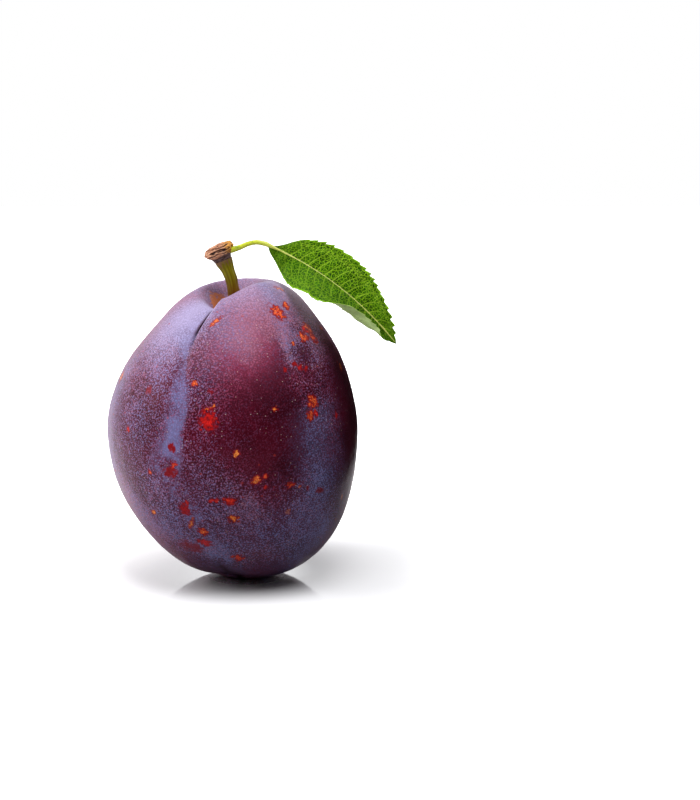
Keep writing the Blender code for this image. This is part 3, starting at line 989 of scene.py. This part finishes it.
# pale and veil carry painted light, and fold carries painted shade
skin_marks.update(russet=russet_patch(skin), pale=pale, fold=fold, veil=veil)
fruit = make_piece("plum_fruit", grown, skin_finish(), skin_marks)
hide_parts("fruit")

# %% [markdown]
# ## The stalk
#
# The stalk is green and slightly ridged, brownish at the bottom where it joins the fruit, and it
# widens where it meets the wood. It is a circle carried along a curve: at each point of the curve
# two directions square to it span the ring.


# %% Curves and rings along them
BACK = np.array([0.0, 1.0, 0.0])


def smooth_curve(points, steps):
    """A Catmull-Rom curve through the points, each with any number of values, as steps + 1 rows."""
    points = np.array(points, float)
    padded = np.vstack([2 * points[0] - points[1], points, 2 * points[-1] - points[-2]])
    s = np.linspace(0, len(points) - 1, steps + 1)
    i = np.minimum(s.astype(int), len(points) - 2)
    t = (s - i)[:, None]
    a, b, c, d = (padded[i + k] for k in range(4))
    square, cube = 2 * a - 5 * b + 4 * c - d, 3 * b - a - 3 * c + d
    return 0.5 * (2 * b + (c - a) * t + square * t**2 + cube * t**3)


def rings_along(path, radius, around):
    """Rings centred on path, radius shaped (len(path), around): centre + r (side cos + back sin),
    where back is +Y made square to the path and side is square to both."""
    ahead = unit(np.gradient(path, axis=0))
    back = unit(BACK - ahead * ahead[:, 1:2])
    side = np.cross(back, ahead)
    theta = full_circle(around)
    spoke = side[:, None] * np.cos(theta)[None, :, None] + back[:, None] * np.sin(theta)[None, :, None]
    return path[:, None] + radius[..., None] * spoke


# %% The stalk's rings
STALK_RADIUS = 1.2
STALK_PATH = (  # x, y, z in mm and the share of STALK_RADIUS
    (-1.6, 0.0, 55.2, 1.35),
    (-1.7, 0.0, 56.25, 1.14),
    (-2.1, 0.0, 58.2, 1.0),
    (-2.5, 0.0, 60.4, 1.0),
    (-3.2, 0.0, 62.4, 1.14),
    (-4.0, 0.0, 64.25, 1.50),
)
STALK_STEPS, STALK_AROUND = 110, 72
RIDGE, FINE_RIDGE, KNUCKLE = 0.035, 0.02, 0.02  # shares of the radius
curve = smooth_curve(STALK_PATH, STALK_STEPS)
stalk_line = curve[:, :3]
theta = full_circle(STALK_AROUND)
along = np.linspace(0, 1, STALK_STEPS + 1)[:, None]
ridges = RIDGE * np.sin(5 * theta + 2.5 * along) + FINE_RIDGE * np.sin(11 * theta - 3 * along + 1)
ridges = ridges + KNUCKLE * np.sin(23 * along + 2 * np.sin(theta))
stalk_radius = STALK_RADIUS * curve[:, 3:4] * (1 + ridges)
stalk_rings = rings_along(stalk_line, stalk_radius, STALK_AROUND)
print("stalk length in mm:", round(float(np.linalg.norm(np.diff(stalk_line, axis=0), axis=1).sum()), 2))


# %% The stalk's finish
STALK_GREEN, STALK_DARK = (0.195, 0.165, 0.003), (0.13, 0.105, 0.002)
STALK_BROWN, STALK_CROWN = (0.12, 0.042, 0.003), (0.15, 0.075, 0.04)


def stalk_finish():
    """Olive green with darker streaks along it, brown at the foot and at the crown, and dark specks."""
    material, shader, place = new_finish("stalk_green_finish", 0.42, 0.2, (1.0, 0.9, 0.4))
    run = place.mark("run", "Vector")
    streaks = run.noise(1.0, 3.0)
    lift = run.part(1) + streaks
    specks = use_group(SPECKS, place, Spacing=0.7, Radius=0.12, Share=0.5) * 0.5
    color = streaks.ramp(0.35, 0.65).mix(STALK_DARK, STALK_GREEN)
    ends = (lift.ramp(2.2, 1.1), STALK_BROWN), (lift.ramp(2.42, 2.72), STALK_CROWN)
    dress(shader, cover_with(color, *ends, (specks, STALK_BROWN)), streaks, 0.06, 0.7)
    return material


RUN_RADIUS, RUN_LENGTH = 3, 2.2


def stalk_run():
    """Pattern coordinates: round the stalk on a circle, so no seam shows, and slow along it."""
    lift = np.broadcast_to(along * RUN_LENGTH, (STALK_STEPS + 1, STALK_AROUND))
    round_it = np.broadcast_to(theta[None], lift.shape)
    return np.stack([RUN_RADIUS * np.cos(round_it), lift, RUN_RADIUS * np.sin(round_it)], -1)


stalk = make_piece("plum_stalk", stalk_rings, stalk_finish(), {"run": stalk_run()})
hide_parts("stem")

# %% [markdown]
# ## The spur knob
#
# Plums grow on short woody spurs. When this one was picked a knob of the spur came with it: a torn
# end of tan wood with dark cracks that run across the stalk's end, over a collar of grey bark. The
# profile is turned round the stalk's axis, then split by ridges that follow the wood's grain.

# %% The knob's profile and ridges
KNOB_PROFILE = (  # distance from the axis and height, mm
    (0.0, -0.1),
    (1.3, -0.1),
    (1.72, 0.1),
    (1.95, 0.6),
    (2.35, 1.25),
    (2.62, 1.9),
    (2.66, 2.4),
    (2.35, 2.85),
    (1.5, 3.05),
    (0.0, 3.1),
)
KNOB_STEPS, KNOB_AROUND = 120, 140
stalk_end, stalk_before = (np.array(p[:3]) for p in (STALK_PATH[-1], STALK_PATH[-2]))
knob_up = unit(stalk_end - stalk_before)
knob_side = np.cross(BACK, knob_up)
print("knob stands along:", knob_up.round(2))

# %% Splits in the torn wood
SPLITS = (  # height of a dark split in the wood, where it runs from and to across, depth, mm
    (2.72, -0.6, 2.4, 0.30),
    (2.30, -1.9, 1.2, 0.26),
    (1.98, -0.4, 2.3, 0.22),
    (1.62, -2.3, -0.6, 0.26),
    (1.45, 0.3, 1.9, 0.16),
)


def split_depth(across, lift, wander):
    """The splits as narrow bells over the height, faded in and out across."""
    total = np.zeros(across.shape)
    for height, start, end, depth in SPLITS:
        inside = rise(across, start, start + 0.4) * (1 - rise(across, end - 0.4, end))
        total = np.maximum(total, depth * inside * bump(lift + 0.06 * wander, height, 0.085))
    return total


# %% The knob's rings
FIBRE_RELIEF, BARK_RELIEF, TORN_RELIEF = 0.11, 0.07, 0.16
KNOB_DEPTH_SHARE = 0.92


def grown_relief(across, back, lift, size, seed, count=20):
    """A ripple in the knob's own directions, mm. Smaller shares of one make its lumps long that way."""
    return ripple(np.stack([across, back, lift], -1), size, seed, count)


def knob_rings():
    """Turned profile, plus ridges of noise that is long across the stalk and short up and back, minus
    the splits. Gives the rings, how deep in a split each point is, 0 to 1, how far it is wood and not
    bark, and its place in the knob's own directions."""
    profile = smooth_curve(KNOB_PROFILE, KNOB_STEPS)[1:-1]
    theta = full_circle(KNOB_AROUND)
    radius, height = np.maximum(profile[:, :1], 0.02), profile[:, 1:]
    across, back = radius * np.cos(theta), radius * np.sin(theta)
    lift = np.broadcast_to(height, across.shape)
    wood = rise(lift + 0.12 * grown_relief(across, back, lift, 1.2, 30), 0.85, 1.2)
    fibre = grown_relief(across * 0.10, back, lift * 1.5, 1.0, 31, 28)
    fibre = fibre + 0.6 * grown_relief(across * 0.3, back, lift * 1.5, 0.42, 32, 28)
    bark = grown_relief(across, back, lift * 0.25, 0.9, 33, 24)
    wander = grown_relief(across * 0.8, back, lift * 0, 1.6, 34)
    splits = split_depth(across, lift, wander) * wood
    lobe = 0.40 * bump(across, -2.4, 0.9) * bump(lift, 1.9, 0.8)
    lobe = lobe + 0.42 * bump(across, 2.3, 0.8) * bump(lift, 2.2, 0.7)
    push = FIBRE_RELIEF * fibre * wood + BARK_RELIEF * bark * (1 - wood) - splits + lobe
    grow = 1 + push / np.maximum(radius, 1.2)
    rim = rise(lift, 2.5, 3.0)
    lift = lift + TORN_RELIEF * fibre * rim - 0.5 * splits * rim
    local = np.stack([across * grow, back * grow * KNOB_DEPTH_SHARE, lift], -1)
    placed = local[..., :1] * knob_side + local[..., 1:2] * BACK + local[..., 2:] * knob_up
    cracks = np.clip(splits / 0.2 - 0.25 * fibre * wood, 0, 1)
    return placed + stalk_end, cracks, wood, local


knob_points, knob_cracks, knob_wood, knob_local = knob_rings()
print("knob spans mm:", (np.ptp(knob_points.reshape(-1, 3), axis=0)).round(2))

# %% The knob's finish
WOOD_TAN, WOOD_PINK = (0.34, 0.125, 0.055), (0.58, 0.30, 0.18)
CRACK, BARK_GREY = (0.035, 0.007, 0.004), (0.13, 0.075, 0.07)
WOOD_ORANGE = (0.55, 0.24, 0.03)


def knob_finish():
    """Tan wood with fibres, dark in the cracks, orange to the right, grey-brown bark beneath."""
    material, shader, place = new_finish("spur_wood_finish", 0.75)
    grain = place.mark("grain", "Vector")
    fibres = grain.noise(2.2, 4.0)
    cracks = place.mark("crack").ramp(0.15, 0.7).larger(fibres.ramp(0.42, 0.34))
    wood = fibres.ramp(0.4, 0.62).mix(WOOD_TAN, WOOD_PINK)
    wood = cover_with(wood, (grain.part(0).ramp(0.15, 0.5), WOOD_ORANGE), (cracks, CRACK))
    bark = fibres.ramp(0.4, 0.6).mix(CRACK, BARK_GREY)
    dress(shader, place.mark("wood").mix(bark, wood), fibres, 0.25, 0.9)
    return material


knob_grain = knob_local * np.array([0.22, 1.1, 1.6])
knob_marks = {"crack": knob_cracks, "wood": knob_wood, "grain": knob_grain}
knob = make_piece("plum_spur_knob", knob_points, knob_finish(), knob_marks)
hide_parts("spur_knob")

# %% [markdown]
# ## The leaf
#
# A leaf is a sheet carried by its midrib. This one is folded along the midrib like a boat, and its
# near margin rolls up towards the tip so that the pale underside shows. The sheet is worked out by
# walking from the midrib to each margin in small steps, each in the direction in which the sheet
# leans there, and the margin's last steps grow into teeth that point to the tip.

# %% The leaf's measures
MIDRIB = np.array(((4.4, -1.05, 67.6), (14.15, -3.5, 63.85), (23.5, -6.1, 57.15), (30.1, -8.0, 48.8)))
HALF_WIDTH, FAR_WIDTH = 6.9, 6.2
BLADE_START, BLADE_END = 0.012, 0.995
FAR_TILT, NEAR_TILT, NEAR_ROLL = -16.0, 56.0, 165.0
TEETH, TOOTH_DEPTH = 22, 0.62
VEIN_PAIRS = 17.0
BLADE_ALONG, BLADE_ACROSS = 300, 40
BLADE_THICKNESS, VEIN_RELIEF, PUFF, PUFF_SIZE = 0.28, 0.11, 0.10, 2.6
PATTERN_LENGTH = 38.0
NEAR_PEAK, FAR_PEAK, ROUNDNESS = 0.91, 0.89, 1.05


def midrib_point(t):
    """A cubic Bezier curve: the controls times (1-t)^3, 3t(1-t)^2, 3t^2(1-t) and t^3."""
    t = np.asarray(t)[..., None]
    a, b, c, d = MIDRIB
    return a * (1 - t) ** 3 + 3 * b * t * (1 - t) ** 2 + 3 * c * t**2 * (1 - t) + d * t**3


# %% Teeth and veins
def teeth(t, side):
    """How far the margin stands out, mm: a saw that rises towards the tip and drops behind each
    tooth, uneven in step and size, and gone at both ends."""
    phase = t * TEETH + 0.35 * np.sin(7 * t + side) + 0.25 * np.sin(17 * t + 2 * side)
    saw = phase % 1.0
    tooth = saw * (1 - rise(saw, 0.86, 1.0))
    uneven = 0.8 + 0.3 * np.sin(5.3 * np.floor(phase) + side)
    depth = TOOTH_DEPTH * (0.45 if side < 0 else 1.0)
    return depth * tooth * uneven * rise(t, 0.12, 0.3) * (1 - rise(t, 0.93, 1.0))


def vein_phase(t, share, side):
    """A number that is whole along each side vein: they leave the midrib steeply and bend tipwards."""
    return VEIN_PAIRS * (t - 0.04 * share - 0.06 * share**2) + 0.18 * side + 0.12 * np.sin(9 * t + 2 * side)


def vein_mask(t, share, side):
    """1 on the side veins and on the arcs that join them near the margin, 0 between."""
    phase = vein_phase(t, share, side)
    off = np.abs(phase - np.round(phase))
    thin = 0.046 * (1 - 0.45 * share)
    branch = bump(off, 0, thin) * (1 - rise(share, 0.45, 0.75))
    loop_share = 0.80 - 0.13 * np.cos(2 * math.pi * phase) ** 2
    loop = 0.8 * bump(share, loop_share, 0.022)
    return np.maximum(branch, loop) * rise(t, 0.02, 0.08) * (1 - rise(t, 0.9, 0.98))


# %% The sheet
def blade_tilt(t, share, side):
    """Degrees that the sheet leans towards the front."""
    if side > 0:
        return np.full(np.broadcast(t, share).shape, FAR_TILT)
    tilt = NEAR_TILT * rise(t, 0.1, 0.42) * (1 - 0.85 * rise(t, 0.5, 0.9))
    roll = NEAR_ROLL * rise(t, 0.45, 0.8) * (1 - rise(t, 0.84, 0.96))
    return tilt + roll * rise(share, 0.4, 0.85)


def half_sheet(t, side):
    """Points from the midrib to one margin, mm, shaped (along, across + 1, 3): the running sum of
    steps (outward cos tilt + front sin tilt), stretched near the margin by the teeth. The width is
    a power of a sine along the blade, and the far half starts more gently than the near one."""
    ahead = unit(midrib_point(t + 0.01) - midrib_point(t - 0.01))
    front = unit((ahead @ BACK)[:, None] * ahead - BACK)
    outward = np.cross(front, ahead) * side
    middle = (np.arange(BLADE_ACROSS) + 0.5) / BLADE_ACROSS
    tilt = np.radians(blade_tilt(t[:, None], middle[None], side))[..., None]
    peak, widest = (NEAR_PEAK, HALF_WIDTH) if side < 0 else (FAR_PEAK, FAR_WIDTH)
    width = widest * np.sin(math.pi * t**peak) ** ROUNDNESS
    width = width * rise(t, -0.02, 0.05 if side < 0 else 0.20)
    edge = rise(middle, 0.72, 1.0)
    step = width[:, None] / BLADE_ACROSS + teeth(t, side)[:, None] * edge / edge.sum()
    walk = (outward[:, None] * np.cos(tilt) + front[:, None] * np.sin(tilt)) * step[..., None]
    lag = 0.45 * teeth(t, side)[:, None] * np.cumsum(edge)[None] / edge.sum()
    walked = np.cumsum(walk, axis=1) + ahead[:, None] * lag[..., None]
    start = midrib_point(t)[:, None]
    return np.concatenate([start, start + walked], axis=1)


def whole_sheet(t):
    """Both halves side by side, near margin first, with pattern coordinates and vein marks."""
    near, far = half_sheet(t, -1), half_sheet(t, 1)
    share = np.linspace(0, 1, BLADE_ACROSS + 1)
    points = np.concatenate([near[:, ::-1], far[:, 1:]], axis=1)
    signed = np.concatenate([-share[::-1], share[1:]])
    side = np.where(signed < 0, -1.0, 1.0)
    veins = vein_mask(t[:, None], np.abs(signed)[None], side[None])
    return points, signed, veins


blade_t = np.linspace(BLADE_START, BLADE_END, BLADE_ALONG)
sheet, signed, veins = whole_sheet(blade_t)
print("sheet:", sheet.shape, "veins cover", round(float((veins > 0.5).mean()), 3))


# %% Thickness
def close_sheet(points, veins, signed, t):
    """Each row of the sheet becomes a ring: its upper face one way and its under face back. Upper
    face = sheet + normal * half thickness, and the veins are pressed in above and stand out below."""
    along = np.gradient(points, axis=0)
    across = np.gradient(points, axis=1)
    normal = unit(np.cross(along, across))
    half = 0.5 * BLADE_THICKNESS * (1 - 0.55 * rise(np.abs(signed), 0.7, 1.0))[None, :, None]
    puff = PUFF * ripple(points, PUFF_SIZE, 41)[..., None]
    puff = puff * rise(np.abs(signed), 0, 0.2)[None, :, None]
    body = points + normal * puff
    groove = VEIN_RELIEF * veins[..., None] * normal
    upper, under = body + normal * half - groove, body - normal * half - groove * 0.9
    rings = np.concatenate([upper, under[:, ::-1]], axis=1)
    top = np.broadcast_to(np.concatenate([np.ones(len(signed)), np.zeros(len(signed))]), rings.shape[:2])
    both = np.concatenate([veins, veins[:, ::-1]], axis=1)
    flat = np.concatenate([signed, signed[::-1]])
    along, across = t[:, None] * PATTERN_LENGTH, flat[None] * HALF_WIDTH
    run = np.stack(np.broadcast_arrays(along, across, 0.0 * both), -1)
    return rings, {"upper": top, "vein": both, "run": run}


blade_rings, blade_marks = close_sheet(sheet, veins, signed, blade_t)
print("blade rings:", blade_rings.shape)

# %% The leaf's finish
LEAF_DEEP, LEAF_GREEN, LEAF_BRIGHT = (0.004, 0.030, 0.0001), (0.012, 0.074, 0.0001), (0.33, 0.66, 0.012)
VEIN_PALE, UNDER_PALE = (0.36, 0.50, 0.05), (0.56, 0.72, 0.30)


def vein_net_group():
    """Mask = 1 on the edges between scattered cells, which is how the smallest veins run."""
    group, given, out = new_group("vein_net", {"Place": None, "Spacing": 0.8, "Width": 0.1})
    bent = given["Place"].noise(1.5, 2.0, "Color").vector("MULTIPLY", (0.35, 0.35, 0.0))
    inputs = {"Vector": bent.vector("ADD", given["Place"]), "Scale": 1.0 / given["Spacing"]}
    kind = {"feature": "DISTANCE_TO_EDGE", "voronoi_dimensions": "2D"}
    bent.node("ShaderNodeTexVoronoi", inputs, "Distance", **kind).ramp(given["Width"], 0.0).to(out["Mask"])
    return group


VEIN_NET = vein_net_group()


def leaf_finish():
    """Above: green cells between light veins, glossy. Below: pale, matt, with the veins paler. The
    half towards the front, where across is below 0, has fainter veins and a lighter green, and that
    lighter green is painted light."""
    material, shader, place = new_finish("leaf_green_finish", 0.4, 0.16, (0.7, 1.0, 0.25))
    run = place.mark("run", "Vector")
    across = run.part(1)
    fine = use_group(VEIN_NET, run, Spacing=0.5, Width=0.16) * 0.4
    net = use_group(VEIN_NET, run, Spacing=0.85, Width=0.095).larger(fine)
    net = net * across.ramp(-0.6, 0.4, 0.62, 1.0)
    main = place.mark("vein") * across.ramp(-0.6, 0.4, 0.45, 0.95)
    margin = across.math("ABSOLUTE", across).ramp(6.3, 6.9) * 0.6
    lines = net.larger(main).larger(margin)
    # random tone, and a lighter green on the front half as painted light
    tone_and_painted_light = run.noise(0.35, 3.0).ramp(0.35, 0.65).larger(across.ramp(0.0, -2.0, 0.0, 0.55))
    upper = cover_with(tone_and_painted_light.mix(LEAF_DEEP, LEAF_GREEN), (lines, LEAF_BRIGHT), (main * 0.6, VEIN_PALE))
    top = place.mark("upper").ramp(0.4, 0.6)
    top.ramp(0.0, 1.0, 0.6, 0.42).to(shader.inputs["Roughness"])
    dress(shader, top.mix((lines * 0.5).mix(UNDER_PALE, VEIN_PALE), upper), lines * -1.0, 0.12, 0.8)
    return material


blade = make_piece("plum_leaf_blade", blade_rings, leaf_finish(), blade_marks)
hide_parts("leaf")

# %% [markdown]
# The leaf's stalk runs on as the midrib. It is a tapering tube, bright yellow green where it leaves
# the wood and paler along the blade.

# %% Leaf stalk and midrib
PETIOLE_PATH = (
    (-3.8, -0.1, 66.1),
    (-2.45, -0.3, 66.3),
    (-0.7, -0.5, 66.85),
    (0.9, -0.75, 67.55),
    (2.67, -0.95, 67.9),
)
PETIOLE_RADIUS, RIB_LEAST = 0.48, 0.375
RIB_STEPS, STALK_PART_STEPS, RIB_AROUND = 180, 50, 20
RIB_END = 0.985  # where it stops, as a share of the midrib's curve


def rib_rings():
    """Rings along the leaf stalk and the Bezier midrib. The radius is a little larger where the stalk
    leaves the wood, falls quickly where the blade begins, and then slowly to RIB_LEAST of it."""
    stalk_part = smooth_curve((*PETIOLE_PATH, MIDRIB[0]), STALK_PART_STEPS)[:-1]
    t = np.linspace(0, RIB_END, RIB_STEPS - STALK_PART_STEPS)
    line = np.concatenate([stalk_part, midrib_point(t)])
    blade_part = np.maximum((1 - 0.55 * rise(t, 0.0, 0.10)) * (1 - 0.65 * t**0.8), RIB_LEAST)
    share = np.concatenate([np.full(len(stalk_part), 1.0), blade_part])
    share = share * (1 + 0.4 * bump(np.arange(len(share)), 4, 14))
    run = np.linspace(0, 1, len(line))
    radius = (PETIOLE_RADIUS * share)[:, None] * np.ones(RIB_AROUND)
    return rings_along(line, radius, RIB_AROUND), np.broadcast_to(run[:, None], radius.shape)


PETIOLE_YELLOW, RIB_PALE, RIB_GREEN = (0.50, 0.55, 0.015), (0.52, 0.56, 0.10), (0.25, 0.35, 0.01)


def rib_finish():
    """Yellow green that pales along the blade, with greener clouds."""
    material, shader, place = new_finish("leaf_rib_finish", 0.4)
    clouds = place.noise(1.2, 3.0)
    color = place.mark("reach").ramp(0.2, 0.4).mix(PETIOLE_YELLOW, RIB_PALE)
    dress(shader, cover_with(color, (clouds.ramp(0.55, 0.75), RIB_GREEN)), clouds, 0.05, 0.5)
    return material


rib_points, reach = rib_rings()
rib = make_piece("plum_leaf_rib", rib_points, rib_finish(), {"reach": reach})
